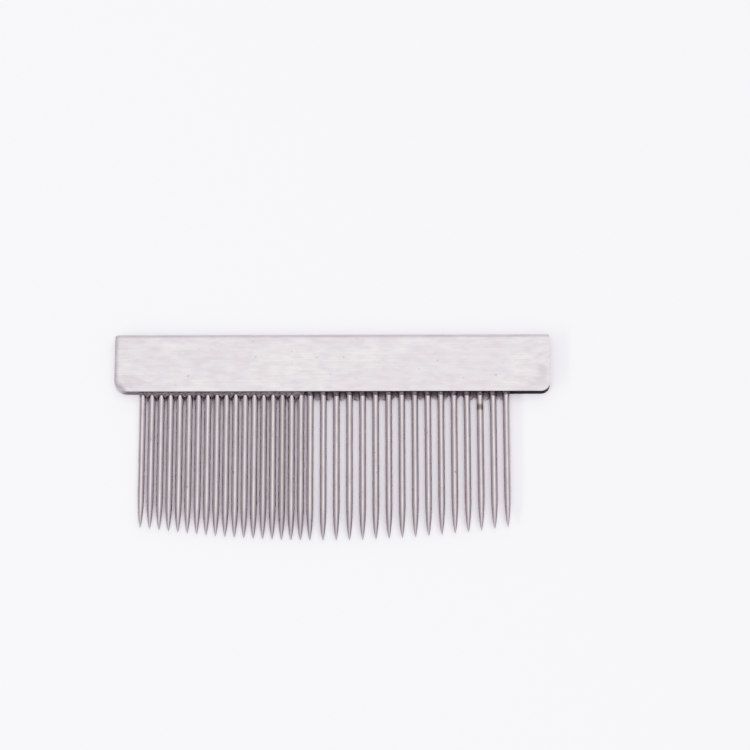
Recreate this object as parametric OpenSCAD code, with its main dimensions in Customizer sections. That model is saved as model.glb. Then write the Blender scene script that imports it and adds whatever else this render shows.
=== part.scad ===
// Steel grooming comb head: a folded sheet spine with one row of pointed wire teeth soldered into it.
// X runs along the spine, +Y from the teeth to the fold, +Z out of the front face.
// The origin is the centre of the spine's back face, which is the face the comb lies on.

/* [Spine] */
// Length of the spine from end to end
spine_l = 56; // [54:0.5:60]
// Height of the spine from its open lip to the top of the fold
spine_h = 8; // [7:0.1:9]
// Gap between the two walls, filled with solder round the teeth
wall_gap = 1; // [0.96:0.01:1.2]
// Thickness of the folded sheet
sheet_t = 0.3; // [0.25:0.01:0.4]
// Radius of the lip corner beside the fine teeth
fine_corner_r = 1.6; // [0.8:0.1:2]
// Radius of the lip corner beside the coarse teeth
coarse_corner_r = 1.2; // [0.8:0.1:2]
// Radius of the two corners on the fold
fold_corner_r = 0.35; // [0.2:0.05:0.6]
// Radius ground along the edges of both ends
end_edge_r = 0.45; // [0.3:0.05:0.6]
// Radius worn along the outer edges of the lip
lip_edge_r = 0.12; // [0.05:0.01:0.2]

/* [Teeth] */
// Diameter of the tooth wire
tooth_d = 0.9; // [0.7:0.01:0.94]
// Number of closely spaced teeth
fine_count = 19; // [15:1:19]
// Number of widely spaced teeth
coarse_count = 15; // [12:1:15]
// Centre distance of the fine teeth
fine_pitch = 1.195; // [1.1:0.005:1.25]
// Centre distance of the coarse teeth, and of the step from fine to coarse
coarse_pitch = 1.675; // [1.5:0.005:1.725]
// Offset of the middle of the row from the middle of the spine
row_offset = -1; // [-1.2:0.05:0]
// Reach of the longest tooth below the lip
tooth_reach = 20; // [15:0.5:24]
// Radius of the shallow arc that the points lie on
point_arc_r = 155; // [120:5:300]
// Length of the sharpened end of a tooth
point_l = 4.8; // [3:0.1:6]
// Distance from the root of a tooth to the top of the fold
root_to_fold = 1.2; // [1:0.1:2.5]

/* [Solder] */
// How far the solder bead stands proud of the lip between the fine teeth
fine_bead = 0.6; // [0.05:0.05:0.9]
// How far the solder lies back from the lip between the coarse teeth
coarse_recess = 0.8; // [0.1:0.05:1.2]

/* [Hidden] */
$fn = 64;
slack = 1;                                   // overshoot of cutting shapes
spine_t = wall_gap + 2 * sheet_t;
lip_y = -spine_h / 2;
fold_y = spine_h / 2;
fold_r = spine_t / 2;
root_depth = spine_h - root_to_fold;         // how deep a tooth stands in the spine
fine_row = (fine_count - 1) * fine_pitch;
coarse_row = (coarse_count - 1) * coarse_pitch;
row_l = fine_row + coarse_pitch + coarse_row;
tooth_count = fine_count + coarse_count;
first_x = row_offset - row_l / 2;            // first fine tooth
coarse_x = first_x + fine_row + coarse_pitch; // first coarse tooth
bead_start_x = first_x - fine_pitch / 2;
bead_end_x = first_x + fine_row - fine_pitch / 2; // the last fine tooth stands past the bead
sunk_x = coarse_x - coarse_pitch / 2;        // from here on the solder is sunk
root_chamfer = 0.1;
point_steps = 10;
point_power = 0.62;                          // below 1 gives a full, bullet-like point

function two_digits(n) = n < 10 ? str("0", n) : str(n);
function is_fine(i) = i < fine_count;
function tooth_name(i) = is_fine(i)
    ? str("fine_tooth_", two_digits(i + 1))
    : str("coarse_tooth_", two_digits(i - fine_count + 1));
function tooth_x(i) = is_fine(i)
    ? first_x + i * fine_pitch
    : coarse_x + (i - fine_count) * coarse_pitch;
// The points lie on an arc, so the outer teeth are shorter than the middle ones.
function tooth_free_l(i) = let (x = tooth_x(i) - row_offset)
    tooth_reach - point_arc_r + sqrt(pow(point_arc_r, 2) - x * x);

// ---- helpers ----

// What rounding a corner of radius r takes away, with the corner's arc centred on the origin.
module corner_waste(r) {
    difference() {
        square(r + slack);
        circle(r);
    }
}

// Extrudes a section drawn in Y and Z along the whole spine, and past both ends.
module along_spine() {
    translate([-spine_l / 2 - slack, 0, 0]) rotate([90, 0, 90])
        linear_extrude(spine_l + 2 * slack) children();
}

// Seen from the front: the ground outline with its four corner radii.
module front_outline() {
    x = spine_l / 2;
    difference() {
        translate([-x, lip_y - slack]) square([spine_l, spine_h + 2 * slack]);
        translate([-x + fold_corner_r, fold_y - fold_corner_r]) rotate(90) corner_waste(fold_corner_r);
        translate([x - fold_corner_r, fold_y - fold_corner_r]) corner_waste(fold_corner_r);
        translate([-x + fine_corner_r, lip_y + fine_corner_r]) rotate(180) corner_waste(fine_corner_r);
        translate([x - coarse_corner_r, lip_y + coarse_corner_r]) rotate(270) corner_waste(coarse_corner_r);
    }
}

// Seen from the fold: the ends with their edges ground round.
module plan_outline() {
    difference() {
        translate([-spine_l / 2, 0]) square([spine_l, spine_t]);
        for (side = [-1, 1], up = [-1, 1])
            translate([side * (spine_l / 2 - end_edge_r), spine_t / 2 + up * (spine_t / 2 - end_edge_r)])
                scale([side, up]) corner_waste(end_edge_r);
    }
}

// Everything in the spine is ground to this shape once it is soldered.
module ground_to_shape() {
    intersection() {
        children();
        translate([0, 0, -slack]) linear_extrude(spine_t + 2 * slack) front_outline();
        translate([0, fold_y + slack, 0]) rotate([90, 0, 0])
            linear_extrude(spine_h + 2 * slack) plan_outline();
    }
}

// Section of a folded slab: straight from y_low, and half round at the fold.
module folded_section(y_low, inset) {
    translate([y_low, inset]) square([fold_y - fold_r - y_low, spine_t - 2 * inset]);
    translate([fold_y - fold_r, fold_r]) circle(fold_r - inset);
}

// Section of the folded sheet, with the outer edges of its lip worn round.
module sheet_section() {
    difference() {
        folded_section(lip_y, 0);
        folded_section(lip_y - slack, sheet_t);
        translate([lip_y + lip_edge_r, lip_edge_r]) rotate(180) corner_waste(lip_edge_r);
        translate([lip_y + lip_edge_r, spine_t - lip_edge_r]) rotate(90) corner_waste(lip_edge_r);
    }
}

// Half section of a tooth, from its root end at 0 to its point at the far end.
module tooth_section(l) {
    r = tooth_d / 2;
    polygon(concat(
        [[0, 0], [r - root_chamfer, 0], [r, root_chamfer]],
        [for (k = [0 : point_steps]) let (left = pow(1 - k / point_steps, 2))
            [r * pow(1 - pow(1 - left, 2), point_power), l - point_l * left]]
    ));
}

// ---- the pieces ----

// One strip of sheet steel folded lengthwise, open along the lip and at both ends.
module spine_channel() {
    color([0.87, 0.86, 0.86])
        ground_to_shape()
            along_spine() sheet_section();
}

// Solder that fills the channel round the teeth: a proud bead in the fine half, sunk in the coarse half.
module solder_fill() {
    sunk_y = lip_y + coarse_recess;
    color([0.62, 0.6, 0.61])
        difference() {
            union() {
                ground_to_shape()
                    intersection() {
                        along_spine() folded_section(lip_y - slack, sheet_t);
                        linear_extrude(spine_t) polygon([
                            [-spine_l, fold_y], [-spine_l, lip_y], [bead_end_x, lip_y],
                            [sunk_x, sunk_y], [spine_l, sunk_y], [spine_l, fold_y]
                        ]);
                    }
                translate([bead_start_x, lip_y - fine_bead, sheet_t])
                    cube([bead_end_x - bead_start_x, fine_bead, wall_gap]);
            }
            for (i = [0 : tooth_count - 1]) tooth_bore(i);
        }
}

// The space that tooth i takes out of the solder.
module tooth_bore(i) {
    translate([tooth_x(i), lip_y + root_depth, spine_t / 2]) rotate([90, 0, 0])
        cylinder(h = root_depth + fine_bead + slack, d = tooth_d);
}

// One pointed wire tooth, from its root in the spine to its point.
module tooth(i) {
    l = root_depth + tooth_free_l(i);
    color([0.76, 0.73, 0.73])
        translate([tooth_x(i), lip_y + root_depth, spine_t / 2]) rotate([90, 0, 0])
            rotate_extrude() tooth_section(l);
}

spine_channel();
solder_fill();
for (i = [0 : tooth_count - 1])
    tooth(i);
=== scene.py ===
"""A steel grooming comb lying on white paper in soft studio light.

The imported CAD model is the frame. Its sheet spine, its solder and its wire teeth are each made again here
as finer meshes in the same place, and they get procedural materials. Lengths in the code are in
millimetres where a name or a comment doesn't say otherwise, and mm() turns them into Blender's metres.
"""

import math
import random

import bpy
import numpy as np
from mathutils import Matrix, Vector, noise


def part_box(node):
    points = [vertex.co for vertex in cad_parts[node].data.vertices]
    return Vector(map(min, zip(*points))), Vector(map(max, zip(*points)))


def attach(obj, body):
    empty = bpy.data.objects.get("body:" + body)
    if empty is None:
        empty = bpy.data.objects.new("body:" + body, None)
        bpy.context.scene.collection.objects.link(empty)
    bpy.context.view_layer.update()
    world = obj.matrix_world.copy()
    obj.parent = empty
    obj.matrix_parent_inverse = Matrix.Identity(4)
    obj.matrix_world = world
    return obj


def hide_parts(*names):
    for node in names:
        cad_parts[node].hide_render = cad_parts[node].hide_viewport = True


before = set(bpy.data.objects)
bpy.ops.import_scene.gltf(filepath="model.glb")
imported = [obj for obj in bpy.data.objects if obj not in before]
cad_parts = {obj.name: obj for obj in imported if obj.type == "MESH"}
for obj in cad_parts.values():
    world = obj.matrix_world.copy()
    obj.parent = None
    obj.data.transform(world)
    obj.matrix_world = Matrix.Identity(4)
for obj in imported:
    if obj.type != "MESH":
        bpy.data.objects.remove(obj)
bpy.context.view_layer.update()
scene = bpy.context.scene


def mm(value):
    """Millimetres to metres."""
    return value / 1000


# ---- sizes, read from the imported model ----

def box_mm(node):
    """Lowest and highest corner of a CAD node, in millimetres."""
    low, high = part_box(node)
    return np.array(low) * 1000, np.array(high) * 1000


FINE_TEETH = sorted(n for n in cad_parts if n.startswith("fine_tooth"))
COARSE_TEETH = sorted(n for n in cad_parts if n.startswith("coarse_tooth"))
SPINE_LOW, SPINE_HIGH = box_mm("spine_channel")
HALF_L = SPINE_HIGH[0]
LIP_Y, FOLD_Y = SPINE_LOW[1], SPINE_HIGH[1]
THICK = SPINE_HIGH[2]
SHEET_T = box_mm("solder_fill")[0][2]        # the solder lies on the inside of the sheet
FOLD_R, INNER_R = THICK / 2, THICK / 2 - SHEET_T
FOLD_START = FOLD_Y - FOLD_R                 # where the flat walls end and the fold begins


# ---- worn and ground edges, in millimetres ----

FINE_CORNER_R, COARSE_CORNER_R = 1.6, 1.2    # lip corners, seen from the front
# how far the grinding reaches in from each edge, and how deep it goes there
FINE_END, COARSE_END, LIP = (0.62, 0.1), (0.15, 0.012), (0.28, 0.1)
# what both of them gain at each lip corner
FINE_CORNER_MORE, COARSE_CORNER_MORE = (0.47, 0.12), (0.1, 0.02)
GRINDING_CURVE = 1.9                         # 1 grinds a flat bevel, more rounds it off
BACK_LIP_UP = 0.05                           # how much shorter the back wall is than the front one
LIP_SOOT_AND_SHADE = 0.7                               # how dark the sheet's lower edge is painted, as shade and grime, from 0 to 1


# ---- smudges that handling left on the face: x, y, half width, half height, strength ----

SMUDGES = (
    (-26.2, -2.9, 1.3, 0.9, 0.9),
    (25.4, -2.9, 1.4, 0.8, 1.2),
    (27.1, -1.4, 0.6, 1.3, 1.0),
    (27, 1, 1.1, 2.6, 0.5),
)


# ---- the solder's mouth, in millimetres ----

BULGE = 1.03           # how far it bulges out between two fine teeth
FLUX_AND_SHADE_WEB = 1.67        # how far the web under the bulge reaches out; it is painted black, as burnt flux and as shade
ON_TOOTH = 0.58        # how far it climbs the front of a coarse tooth
ON_FINE_TOOTH = 0.34   # how far it reaches along the front of a fine one
BEAD_PAST = 0.55, 0.5  # how far the bead goes on past the first fine tooth and the last but one
BEAD_ROUNDING = 0.3    # share of the bulge that rounds away towards the front wall
UNEVEN = 0.16, 0.25    # how much the bead and the collars differ from tooth to tooth, and in lumps
UNDERCUT = 0.6         # how far it draws back behind that web
SUNK = 1.1             # how deep it lies between two coarse teeth
SKIRT = 0.72           # how far it reaches out there along the back wall
RAGGED = 0.9, 0.6      # how ragged that skirt is, in broad waves and in lumps
SKIRT_AT_MOST = 1.25   # its longest part, as a multiple of its mean
SKIRT_SOOT_AND_SHADE = 0.6       # how dark the skirt is painted, as shade and burnt flux, from 0 to 1
COLLAR_REACH = 0.3     # how far a collar spreads around its tooth
COLLAR_CURVE = 1.6     # 1 makes a straight cone of a collar, more hollows it
LUMPS = (13.7, 15.2, 19.9, 21.5)    # where stray lumps sit on the sunk solder
LUMP_H = 1.2           # their height
LUMP_Z = 0.66 * THICK
LUMP_SPREAD = 0.03     # the square of their half width


# ---- the points of the teeth, in millimetres ----

POINT_L, POINT_VARIES = 4.8, 0.3    # mean length of a point, and how far a tooth's can be from it
POINT_FULLNESS = 0.62               # 0.5 makes a full, elliptic point, 1 a slimmer one
POINT_RINGS, WIRE_SIDES = 18, 28    # how finely a point and the wire are divided
ROOT_CHAMFER = 0.1
POINT_SHADE_Y = -18.7, -23.4         # where the ground end of the wire begins to be painted darker, partly as shade, and is darkest
BURN_Y = LIP_Y - 2.1                # the heat mark on one tooth
BURN_HALF = 0.2, 0.6                # half heights of its full and its faint part


# ---- mesh helpers ----

def new_piece(name, points, faces, sharp_degrees=40, **painted):
    """A mesh object from points in millimetres, smooth except along its sharp edges.

    painted holds lists of one number a point, which a material reads by the list's name.
    """
    mesh = bpy.data.meshes.new(name)
    mesh.from_pydata([tuple(mm(c) for c in p) for p in points], [], faces)
    for label, values in painted.items():
        mesh.attributes.new(label, "FLOAT", "POINT").data.foreach_set("value", values)
    mesh.shade_smooth()
    mesh.set_sharp_from_angle(angle=math.radians(sharp_degrees))
    piece = bpy.data.objects.new(name, mesh)
    scene.collection.objects.link(piece)
    return piece


def finish_piece(piece, material, node):
    """Gives a piece its material, and puts it in the place of a CAD node."""
    piece.data.materials.append(material)
    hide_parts(node)
    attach(piece, "root")
    return piece


def loop_faces(stations, around):
    """Quads between closed loops of points, each loop the next station along."""
    faces = []
    for i in range(stations - 1):
        for j in range(around):
            k = (j + 1) % around
            faces.append((i * around + j, i * around + k, (i + 1) * around + k, (i + 1) * around + j))
    return faces


def smoothstep(t):
    t = np.clip(t, 0, 1)
    return t * t * (3 - 2 * t)


# ---- the outline of the spine ----

def corner_r(x):
    return FINE_CORNER_R if x < 0 else COARSE_CORNER_R


def lip_at(x):
    """Height of the lip at x: level, and lifted at the two rounded corners."""
    r = corner_r(x)
    past = max(0, r - (HALF_L - abs(x)))
    return LIP_Y + r - math.sqrt(max(0, r * r - past * past))


def ground_away(x, y):
    """How much the ground and worn edges take off the face at (x, y)."""
    r = corner_r(x)
    to_end, to_lip = HALF_L - abs(x), y - LIP_Y
    if to_end < r and to_lip < r:
        inside = r - math.hypot(r - to_end, r - to_lip)
        turn = math.atan2(r - to_end, r - to_lip)
    else:
        inside, turn = (to_end, math.pi / 2) if to_end < to_lip else (to_lip, 0)
    end, corner_more = (FINE_END, FINE_CORNER_MORE) if x < 0 else (COARSE_END, COARSE_CORNER_MORE)
    share = math.sin(turn) ** 2
    reach, depth = (at_lip + (at_end - at_lip) * share + more * math.sin(2 * turn)
                    for at_lip, at_end, more in zip(LIP, end, corner_more))
    return depth * (1 - min(1, max(0, inside) / reach)) ** GRINDING_CURVE


def smudged(x, y):
    """How smudged the face is at (x, y): 0 where it is clean, about 1 in the middle of a smudge."""
    return sum(strength * math.exp(-((x - at_x) / half_w) ** 2 - ((y - at_y) / half_h) ** 2)
               for at_x, at_y, half_w, half_h, strength in SMUDGES)


def fold_arc(x, r, turns):
    """Points round the fold at x, from the front to the back."""
    return [(x, FOLD_START + r * math.sin(a), FOLD_R + r * math.cos(a)) for a in turns]


def stations_along():
    """Places along the spine: close together at the ground ends, wide apart between."""
    end_zone, end_steps, middle_places = 2.2, 26, 40
    near = [end_zone * (k / end_steps) ** 2 for k in range(end_steps + 1)]
    middle = np.linspace(end_zone, 2 * HALF_L - end_zone, middle_places)[1:-1]
    left = [-HALF_L + d for d in near]
    return left + [-HALF_L + d for d in middle] + [-x for x in reversed(left)]


# ---- the pieces ----

def spine_sheet():
    """The folded sheet: an outer and an inner skin, joined along the lip and at both ends."""
    face_rows, fold_rows = 34, 26
    rises = [(k / face_rows) ** 2 for k in range(face_rows)]
    turns = [math.pi * k / fold_rows for k in range(fold_rows + 1)]
    points, soot, ground, smudge = [], [], [], []
    stations = stations_along()
    for x in stations:
        lip = lip_at(x)
        heights = [lip + (FOLD_START - lip) * r for r in rises]
        back_heights = [lip + BACK_LIP_UP + (FOLD_START - lip - BACK_LIP_UP) * r for r in rises]
        taken = [ground_away(x, y) for y in heights]
        end_taken = ground_away(x, FOLD_START)
        front = [(x, y, THICK - t) for y, t in zip(heights, taken)]
        back = [(x, y, t) for y, t in zip(back_heights, taken)]
        fold = fold_arc(x, FOLD_R - end_taken, turns)
        in_front = [(x, y, THICK - SHEET_T) for y in heights]
        in_back = [(x, y, SHEET_T) for y in back_heights]
        in_fold = fold_arc(x, INNER_R, turns)
        points += front + fold + back[::-1] + in_back + in_fold[::-1] + in_front[::-1]
        outer, inner = len(front + fold + back), len(in_back + in_fold + in_front)
        # painted shade and grime: both edges of the lip are darkened, and the whole inner skin is painted
        # dark
        soot += [LIP_SOOT_AND_SHADE] + [0] * (outer - 2) + [LIP_SOOT_AND_SHADE] + [1] * inner
        worn = [min(1, t / LIP[1]) for t in taken]
        ground += worn + [min(1, end_taken / LIP[1])] * len(fold) + worn[::-1] + [0] * inner
        smudge += [smudged(x, y) for y in heights] + [0] * (outer + inner - len(heights))
    around = len(points) // len(stations)
    faces = loop_faces(len(stations), around)
    half = around // 2
    for start, flip in ((0, False), ((len(stations) - 1) * around, True)):
        for j in range(half - 1):
            face = (start + j, start + j + 1, start + around - 2 - j, start + around - 1 - j)
            faces.append(face[::-1] if flip else face)
    return new_piece("spine_sheet", points, faces, soot=soot, ground=ground, smudge=smudge)


def tooth_centres(nodes):
    """Where the teeth stand along the spine."""
    return [float((box_mm(n)[0][0] + box_mm(n)[1][0]) / 2) for n in nodes]


def solder():
    """The solder in the channel, with a mouth that is laid on from the front.

    Between the fine teeth it bulges out over the lip, and is undercut behind. Among the coarse teeth it is
    sunk, and only climbs each tooth as a collar and the back wall as a ragged skirt.
    """
    fine, coarse = tooth_centres(FINE_TEETH), tooth_centres(COARSE_TEETH)
    teeth = fine + coarse
    tooth_r = float(box_mm(FINE_TEETH[0])[1][0] - box_mm(FINE_TEETH[0])[0][0]) / 2
    middle_z, half_gap = THICK / 2, THICK / 2 - SHEET_T
    draw = random.Random(7)
    level = {x: draw.uniform(-1, 1) for x in teeth}
    bead_from, bead_to = fine[0] - BEAD_PAST[0], fine[-2] + BEAD_PAST[1]

    def mouth(x, z):
        """How far the mouth stands proud of the lip, how dark it is painted as shade and burnt flux, and
        how much painted sheen it has.

        The first is negative where the mouth is sunk.
        """
        near = min(teeth, key=lambda t: abs(t - x))
        off = max(0, math.hypot(x - near, z - middle_z) - tooth_r)
        up = (z - middle_z) / half_gap    # -1 at the back wall, 1 at the front one
        lumpy = noise.noise(Vector((1.9 * x, 2.3 * z, 0)))
        uneven = 1 + UNEVEN[0] * level[near] + UNEVEN[1] * lumpy
        collar = (1 - min(1, off / COLLAR_REACH)) ** COLLAR_CURVE

        # shares from 0 to 1: how far forward this is, beside the fine teeth, and in the coarse row
        front, above_gap = smoothstep((up - 0.1) / 0.3), smoothstep((up + 0.45) / 0.3)
        in_bead = smoothstep((x - bead_from) / 0.25) * smoothstep((bead_to - x) / 0.35)
        in_row = smoothstep((x - bead_to) / 0.5)

        # beside the fine teeth: a bead over a web that is painted black as shade and burnt flux, thin on
        # each tooth
        between = FLUX_AND_SHADE_WEB + (BULGE - FLUX_AND_SHADE_WEB) * front - BEAD_ROUNDING * BULGE * max(0, up) ** 4
        between *= 1 + (uneven - 1) * (0.35 + 0.65 * front)
        bead = (between * (1 - collar) + ON_FINE_TOOTH * collar) * above_gap - UNDERCUT * (1 - above_gap)

        # in the coarse row: a sunk bed with a skirt, collars and stray lumps
        waves = noise.noise(Vector((1.3 * x, 0, 5)))
        ragged = min(SKIRT_AT_MOST, 1 + RAGGED[0] * waves + RAGGED[1] * lumpy)
        at_back, before_end = smoothstep((-0.45 - up) / 0.35), smoothstep((coarse[-1] - x) / 0.2)
        skirt = (SUNK + SKIRT * ragged) * at_back * before_end
        climb = (SUNK + ON_TOOTH * uneven) * collar * smoothstep((up + 0.35) / 0.5)
        lumps = LUMP_H * sum(math.exp(-((x - at) ** 2 + (z - LUMP_Z) ** 2) / LUMP_SPREAD) for at in LUMPS)
        hollow = -SUNK + max(skirt, climb, lumps)
        flush = 0.02 * lumpy * (1 - in_row)
        proud = in_bead * bead + in_row * (1 - in_bead) * hollow + flush

        # painted light and shade: the skirt's outer part, which stands out, gets a painted sheen, and what
        # lies deep, under the bead or on the skirt is painted dark, as shade and burnt flux
        on_skirt = in_row * (1 - in_bead) * smoothstep(-2 * up)
        painted_sheen = on_skirt * smoothstep((proud - 0.25) / 0.5)
        under_bead = in_bead * (1 - front) * (1 - collar)
        in_hollow = smoothstep((0.05 - proud) / 0.4)
        sooty = max(under_bead, in_hollow, on_skirt * SKIRT_SOOT_AND_SHADE * (1 - painted_sheen))
        return proud, float(sooty), float(0.3 * painted_sheen)

    step, rows, fold_rows = 0.05, 20, 10
    count = int(2 * HALF_L / step)
    stations = [-HALF_L + 2 * HALF_L * k / count for k in range(count + 1)]
    across = [middle_z - half_gap * math.cos(math.pi * k / rows) for k in range(rows + 1)]
    turns = [math.pi * k / fold_rows for k in range(fold_rows + 1)]
    points, soot, ground = [], [], []
    for x in stations:
        lip = lip_at(x)
        ground_end = float(smoothstep((FINE_CORNER_R - HALF_L - x) / 0.9))
        for z in across:
            proud, sooty, painted_sheen = mouth(x, z)
            points.append((x, lip + BACK_LIP_UP * (1 - z / THICK) - proud, z))
            soot.append(sooty)
            # the ground attribute carries the ground fine end and the painted sheen on the skirt
            ground.append(max(ground_end, painted_sheen))
        points += fold_arc(x, INNER_R, turns)
        soot += [0] * len(turns)
        ground += [0] * len(turns)
    around = len(across) + len(turns)
    faces = [f[::-1] for f in loop_faces(len(stations), around)]
    last = (len(stations) - 1) * around
    faces.append(tuple(range(around)))
    faces.append(tuple(range(last + around - 1, last - 1, -1)))
    return new_piece("solder", points, faces, sharp_degrees=60, soot=soot, ground=ground)


def tooth(node, draw):
    """One wire tooth, turned from its profile: chamfered root, straight wire, full rounded point."""
    low, high = box_mm(node)
    x, z = (low[0] + high[0]) / 2, (low[2] + high[2]) / 2
    r, length = (high[0] - low[0]) / 2, high[1] - low[1]
    point_l = POINT_L + draw.uniform(-POINT_VARIES, POINT_VARIES)
    profile = [(0, r - ROOT_CHAMFER), (ROOT_CHAMFER, r), (length - point_l, r)]
    to_tip = [(1 - k / POINT_RINGS) ** 2 for k in range(1, POINT_RINGS)]
    profile += [(length - point_l * t, r * (1 - (1 - t) ** 2) ** POINT_FULLNESS) for t in to_tip]
    points = []
    for along, ring_r in profile:
        for k in range(WIRE_SIDES):
            a = 2 * math.pi * k / WIRE_SIDES
            points.append((x + ring_r * math.cos(a), high[1] - along, z + ring_r * math.sin(a)))
    faces = [f[::-1] for f in loop_faces(len(profile), WIRE_SIDES)]
    faces.append(tuple(range(WIRE_SIDES)))
    last, tip = (len(profile) - 1) * WIRE_SIDES, len(points)
    points.append((x, low[1], z))
    faces += [(last + (k + 1) % WIRE_SIDES, last + k, tip) for k in range(WIRE_SIDES)]
    return new_piece(node + "_wire", points, faces)


# ---- materials ----

STEEL_LOW, STEEL_HIGH = (0.408, 0.379, 0.369), (0.612, 0.572, 0.557)
STEEL_STAIN, STEEL_SMUDGED, STEEL_PIT = (0.408, 0.37, 0.373), (0.375, 0.334, 0.34), (0.2, 0.18, 0.18)
WIRE_LOW, WIRE_HIGH, WIRE_GROUND_AND_SHADE = (0.39, 0.35, 0.344), (0.488, 0.438, 0.431), (0.29, 0.26, 0.26)
WIRE_TARNISH, WIRE_BURN, WIRE_SPECK = (0.31, 0.265, 0.25), (0.17, 0.12, 0.09), (0.1, 0.08, 0.08)
SOLDER_LOW, SOLDER_HIGH, SOLDER_BARE_AND_SHEEN = (0.048, 0.038, 0.042), (0.112, 0.093, 0.1), (0.4, 0.355, 0.385)
SOOT_AND_SHADE = (0.055, 0.044, 0.049)
PAPER, PAPER_PAINTED_SHADE = (0.93, 0.93, 0.93), (0.96, 0.855, 0.965)


class Material:
    """A node material, written as nested calls."""

    def __init__(self, name):
        self.material = bpy.data.materials.new(name)
        self.material.use_nodes = True
        self.tree = self.material.node_tree
        self.surface = self.tree.nodes["Principled BSDF"]
        self.place = self.tree.nodes.new("ShaderNodeTexCoord").outputs["Object"]

    def put(self, socket, value):
        """Links a node's output to an input socket, or sets a plain value there."""
        if isinstance(value, bpy.types.NodeSocket):
            self.tree.links.new(value, socket)
        else:
            socket.default_value = value

    def set(self, **values):
        """Sets the surface's own sockets: Base_Color=..., Roughness=..."""
        for name, value in values.items():
            self.put(self.surface.inputs[name.replace("_", " ")], value)
        return self.material

    def painted(self, label):
        """A number painted on the mesh's points."""
        node = self.tree.nodes.new("ShaderNodeAttribute")
        node.attribute_name = label
        return node.outputs["Fac"]

    def of_object(self, label):
        """A custom property of the object that wears the material."""
        node = self.tree.nodes.new("ShaderNodeAttribute")
        node.attribute_type = "OBJECT"
        node.attribute_name = label
        return node.outputs["Fac"]

    def axis(self, name):
        """One coordinate of the place in the part, in metres."""
        node = self.tree.nodes.new("ShaderNodeSeparateXYZ")
        self.put(node.inputs[0], self.place)
        return node.outputs[name]

    def scaled(self, x, y, z):
        """The place in the part, multiplied along each axis: cycles per millimetre."""
        node = self.tree.nodes.new("ShaderNodeMapping")
        self.put(node.inputs["Vector"], self.place)
        node.inputs["Scale"].default_value = (x * 1000, y * 1000, z * 1000)
        return node.outputs["Vector"]

    def noise(self, vector, detail, rough):
        """Smooth random values around 0.5."""
        node = self.tree.nodes.new("ShaderNodeTexNoise")
        self.put(node.inputs["Vector"], vector)
        node.inputs["Scale"].default_value = 1
        node.inputs["Detail"].default_value = detail
        node.inputs["Roughness"].default_value = rough
        return node.outputs["Fac"]

    def openness(self, distance):
        """How open a place is to its surroundings within so many millimetres, from 0 to 1."""
        node = self.tree.nodes.new("ShaderNodeAmbientOcclusion")
        node.inputs["Distance"].default_value = mm(distance)
        return node.outputs["AO"]

    def ramp(self, value, low, high, to_low=0.0, to_high=1.0):
        """Maps low..high to to_low..to_high, smoothly and held at both ends."""
        node = self.tree.nodes.new("ShaderNodeMapRange")
        node.interpolation_type = "SMOOTHSTEP"
        self.put(node.inputs["Value"], value)
        self.put(node.inputs["From Min"], low)
        self.put(node.inputs["From Max"], high)
        self.put(node.inputs["To Min"], to_low)
        self.put(node.inputs["To Max"], to_high)
        return node.outputs["Result"]

    def math(self, operation, a, b=0.0):
        """One operation on two numbers, or on the first alone."""
        node = self.tree.nodes.new("ShaderNodeMath")
        node.operation = operation
        self.put(node.inputs[0], a)
        self.put(node.inputs[1], b)
        return node.outputs[0]

    def mix(self, share, a, b):
        """Mixes two colours: a where the share is 0, b where it is 1."""
        node = self.tree.nodes.new("ShaderNodeMix")
        node.data_type = "RGBA"
        self.put(node.inputs["Factor"], share)
        for socket, value in ((node.inputs[6], a), (node.inputs[7], b)):
            self.put(socket, value if isinstance(value, bpy.types.NodeSocket) else (*value, 1))
        return node.outputs[2]

    def bump(self, height, depth, over=None):
        """A normal from a height of 0..1 that stands for depth millimetres, over another normal."""
        node = self.tree.nodes.new("ShaderNodeBump")
        node.inputs["Strength"].default_value = 1
        node.inputs["Distance"].default_value = mm(depth)
        self.put(node.inputs["Height"], height)
        if over is not None:
            self.put(node.inputs["Normal"], over)
        return node.outputs["Normal"]


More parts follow.
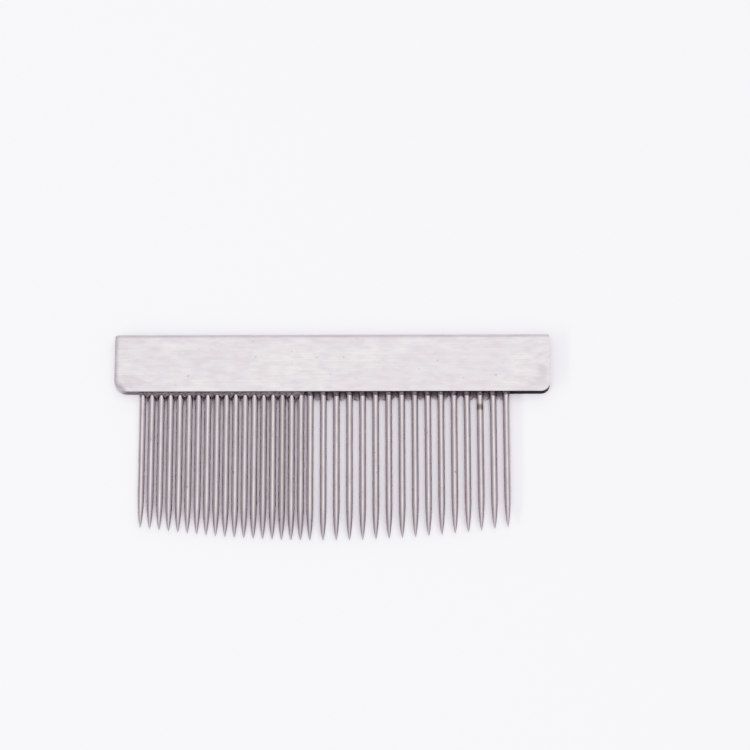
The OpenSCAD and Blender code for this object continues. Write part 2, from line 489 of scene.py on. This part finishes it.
def brushed_steel():
    """Sheet brushed along its length, mottled by handling, with a few pits. Ground edges are smoother."""
    m = Material("brushed_steel")
    grain = m.noise(m.scaled(0.12, 14, 14), 4, 0.6)
    lines = m.noise(m.scaled(0.35, 30, 30), 2, 0.5)
    mottle = m.noise(m.scaled(0.5, 1.2, 1.2), 4, 0.6)
    clouds = m.noise(m.scaled(0.16, 0.3, 0.3), 2, 0.5)
    pits = m.noise(m.scaled(2.4, 2.4, 2.4), 1, 0.4)
    soot, ground = m.painted("soot"), m.painted("ground")
    streaks = m.math("ADD", m.math("MULTIPLY", grain, 0.6), m.math("MULTIPLY", lines, 0.4))
    colour = m.mix(m.ramp(streaks, 0.34, 0.66), STEEL_LOW, STEEL_HIGH)
    colour = m.mix(m.ramp(mottle, 0.35, 0.7, 0.0, 0.7), colour, STEEL_STAIN)
    colour = m.mix(m.ramp(clouds, 0.4, 0.65, 0.0, 0.45), colour, STEEL_STAIN)
    smudge = m.math("MULTIPLY", m.painted("smudge"), m.ramp(mottle, 0.3, 0.6, 0.3, 1.0))
    colour = m.mix(smudge, colour, STEEL_SMUDGED)
    colour = m.mix(m.ramp(pits, 0.76, 0.8, 0.0, 0.6), colour, STEEL_PIT)
    # painted shade and grime on the lip's edges and inside the channel
    colour = m.mix(soot, colour, SOOT_AND_SHADE)
    handled = m.math("ADD", m.math("MULTIPLY", grain, 0.6), m.math("MULTIPLY", mottle, 0.4))
    roughness = m.ramp(handled, 0.3, 0.7, 0.26, 0.38)
    roughness = m.math("SUBTRACT", roughness, m.math("MULTIPLY", ground, 0.06))
    roughness = m.math("ADD", roughness, m.math("MULTIPLY", soot, 0.4))
    normal = m.bump(grain, 0.003)
    normal = m.bump(lines, 0.0015, over=normal)
    normal = m.bump(m.ramp(pits, 0.74, 0.8, 1.0, 0.0), 0.02, over=normal)
    return m.set(Base_Color=colour, Metallic=1.0, Roughness=roughness, Normal=normal)


def drawn_wire():
    """Bright drawn wire with faint lines along it, dark specks, and tarnish that differs between teeth."""
    m = Material("drawn_wire")
    lines = m.noise(m.scaled(9, 0.15, 9), 3, 0.6)
    patches = m.noise(m.scaled(0.9, 0.35, 0.9), 3, 0.6)
    tarnish = m.math("ADD", m.ramp(patches, 0.4, 0.75, 0.0, 0.5), m.of_object("tarnish"))
    colour = m.mix(m.ramp(lines, 0.3, 0.7), WIRE_LOW, WIRE_HIGH)
    colour = m.mix(tarnish, colour, WIRE_TARNISH)
    # partly painted shade: the wire darkens towards its ground point, and is rougher there
    ground_point_and_shade = m.ramp(m.axis("Y"), mm(POINT_SHADE_Y[1]), mm(POINT_SHADE_Y[0]), 1.0, 0.0)
    colour = m.mix(ground_point_and_shade, colour, WIRE_GROUND_AND_SHADE)
    from_burn = m.math("ABSOLUTE", m.math("SUBTRACT", m.axis("Y"), mm(BURN_Y)))
    burn = m.ramp(from_burn, mm(BURN_HALF[0]), mm(BURN_HALF[1]), 1.0, 0.0)
    burn = m.math("MULTIPLY", burn, m.of_object("burn"))
    colour = m.mix(burn, colour, WIRE_BURN)
    specks = m.noise(m.scaled(1.7, 1.1, 1.7), 1, 0.4)
    colour = m.mix(m.ramp(specks, 0.73, 0.78, 0.0, 0.6), colour, WIRE_SPECK)
    roughness = m.math("ADD", m.ramp(patches, 0.3, 0.7, 0.18, 0.25), m.math("MULTIPLY", tarnish, 0.1))
    roughness = m.math("ADD", roughness, m.math("MULTIPLY", ground_point_and_shade, 0.12))
    return m.set(Base_Color=colour, Metallic=1.0, Roughness=roughness, Normal=m.bump(lines, 0.001))


def dull_solder():
    """Grey solder, cooled with a grainy skin. It is painted dark, as shade and burnt flux, where it is
    sunk, and paler as a painted sheen where its skirt stands out.
    """
    m = Material("dull_solder")
    skin = m.noise(m.scaled(3, 3, 3), 4, 0.6)
    grains = m.noise(m.scaled(14, 14, 14), 2, 0.5)
    soot = m.painted("soot")
    colour = m.mix(m.ramp(skin, 0.35, 0.65), SOLDER_LOW, SOLDER_HIGH)
    # painted shade and burnt flux: dark where the solder is sunk, under the bead and on the skirt
    colour = m.mix(soot, colour, SOOT_AND_SHADE)
    # paler at the ground end, and a painted sheen where the skirt stands out
    colour = m.mix(m.painted("ground"), colour, SOLDER_BARE_AND_SHEEN)
    roughness = m.math("ADD", m.ramp(grains, 0.3, 0.7, 0.28, 0.5), m.math("MULTIPLY", soot, 0.3))
    metal = m.math("SUBTRACT", 1.0, m.math("MULTIPLY", soot, 0.8))
    normal = m.bump(grains, 0.006, over=m.bump(skin, 0.04))
    return m.set(Base_Color=colour, Metallic=metal, Roughness=roughness, Normal=normal)


def paper():
    """Plain paper, with a faint lilac shade painted into its colour in its narrow sheltered places."""
    m = Material("paper")
    # painted shade: the paper turns lilac where it is sheltered
    shade = m.math("POWER", m.math("SUBTRACT", 1.0, m.openness(2)), 1.5)
    return m.set(Base_Color=m.mix(shade, PAPER, PAPER_PAINTED_SHADE), Roughness=0.9)


# ---- the comb ----

DULL_TEETH = {"fine_tooth_14": 0.5, "fine_tooth_16": 0.7}    # their tarnish, from 0 to 1
MOST_TARNISH = 0.15                                          # on any of the others
BURNT_TOOTH = "coarse_tooth_13"

finish_piece(spine_sheet(), brushed_steel(), "spine_channel")
finish_piece(solder(), dull_solder(), "solder_fill")
wire = drawn_wire()
draw_teeth = random.Random(3)
for node in FINE_TEETH + COARSE_TEETH:
    piece = finish_piece(tooth(node, draw_teeth), wire, node)
    piece["tarnish"] = DULL_TEETH.get(node, draw_teeth.uniform(0, MOST_TARNISH))
    piece["burn"] = float(node == BURNT_TOOTH)


# ---- floor, light and camera ----

def floor():
    """A square of paper, far larger than the comb."""
    half = 3.0    # metres
    corners = [(-half, -half, 0), (half, -half, 0), (half, half, 0), (-half, half, 0)]
    mesh = bpy.data.meshes.new("floor")
    mesh.from_pydata(corners, [], [(0, 1, 2, 3)])
    plane = bpy.data.objects.new("floor", mesh)
    mesh.materials.append(paper())
    scene.collection.objects.link(plane)


def softbox(name, towards, distance, width, height, power):
    """An area light that faces the comb from one direction, its width along Y, in metres and watts."""
    light = bpy.data.lights.new(name, "AREA")
    light.shape = "RECTANGLE"
    light.size, light.size_y = width, height
    light.energy = power
    lamp = bpy.data.objects.new(name, light)
    behind = Vector(towards).normalized()
    along = (Vector((0, 1, 0)) - behind * behind.y).normalized()
    turn = Matrix((along, behind.cross(along), behind)).transposed()
    lamp.matrix_world = Matrix.Translation(behind * distance) @ turn.to_4x4()
    lamp.visible_camera = False
    scene.collection.objects.link(lamp)


# colour of the room by distance from the middle of the overhead light, on a unit sphere seen from below
ROOM = ((0.16, (1, 1, 1.05)), (0.64, (0.34, 0.32, 0.366)), (1.0, (0.24, 0.213, 0.265)))
ROOM_STRENGTH = 1.56
LIGHT_MIDDLE_X = 0.08
LIGHT_SQUEEZE = (1, 0.49, 0)    # below 1 makes the light longer along that axis


def surroundings():
    """A dim room under a long, soft ceiling of light that runs along Y."""
    world = bpy.data.worlds.new("studio")
    world.use_nodes = True
    scene.world = world
    tree = world.node_tree
    way = tree.nodes.new("ShaderNodeTexCoord").outputs["Generated"]
    off_axis = tree.nodes.new("ShaderNodeVectorMath")
    off_axis.operation = "MULTIPLY_ADD"
    off_axis.inputs[1].default_value = LIGHT_SQUEEZE
    off_axis.inputs[2].default_value = (-LIGHT_MIDDLE_X, 0, 0)
    tree.links.new(way, off_axis.inputs[0])
    distance = tree.nodes.new("ShaderNodeVectorMath")
    distance.operation = "LENGTH"
    tree.links.new(off_axis.outputs["Vector"], distance.inputs[0])
    ramp = tree.nodes.new("ShaderNodeValToRGB")
    ramp.color_ramp.interpolation = "EASE"
    elements = ramp.color_ramp.elements
    elements.new(0.5)    # a third stop between the first two
    for element, (at, colour) in zip(elements, ROOM):
        element.position = at
        element.color = (*colour, 1)
    tree.links.new(distance.outputs["Value"], ramp.inputs["Fac"])
    tree.links.new(ramp.outputs["Color"], tree.nodes["Background"].inputs["Color"])
    tree.nodes["Background"].inputs["Strength"].default_value = ROOM_STRENGTH


def camera():
    """Looks down on the front face from the teeth's side, with a long lens."""
    tilt, roll, distance = math.radians(21), math.radians(-0.13), mm(475.5)
    aim = Vector((mm(5.5), mm(-1.243), 0))
    data = bpy.data.cameras.new("camera")
    data.lens, data.sensor_width = 177, 36
    data.clip_start, data.clip_end = 0.01, 20
    rig = bpy.data.objects.new("camera", data)
    back = Vector((0, -math.sin(tilt), math.cos(tilt)))
    turn = back.to_track_quat("Z", "Y").to_matrix() @ Matrix.Rotation(roll, 3, "Z")
    rig.matrix_world = Matrix.Translation(aim + back * distance) @ turn.to_4x4()
    scene.collection.objects.link(rig)
    scene.camera = rig


def camera_response():
    """A photograph's soft shoulder: middle tones are lifted, and the palest ones are held back."""
    view = scene.view_settings
    view.view_transform = "Standard"
    view.use_curve_mapping = True
    curve = view.curve_mapping.curves[3]    # the one for all three colours
    curve.points[1].location = (1, 0.95)
    for at, comes_out in ((0.24, 0.415), (0.5, 0.69), (0.7, 0.835)):
        curve.points.new(at, comes_out)
    view.curve_mapping.update()


floor()
surroundings()
softbox("low_left", towards=(-0.76, -0.44, 0.475), distance=1.0, width=0.8, height=0.15, power=3.4)
camera()
camera_response()
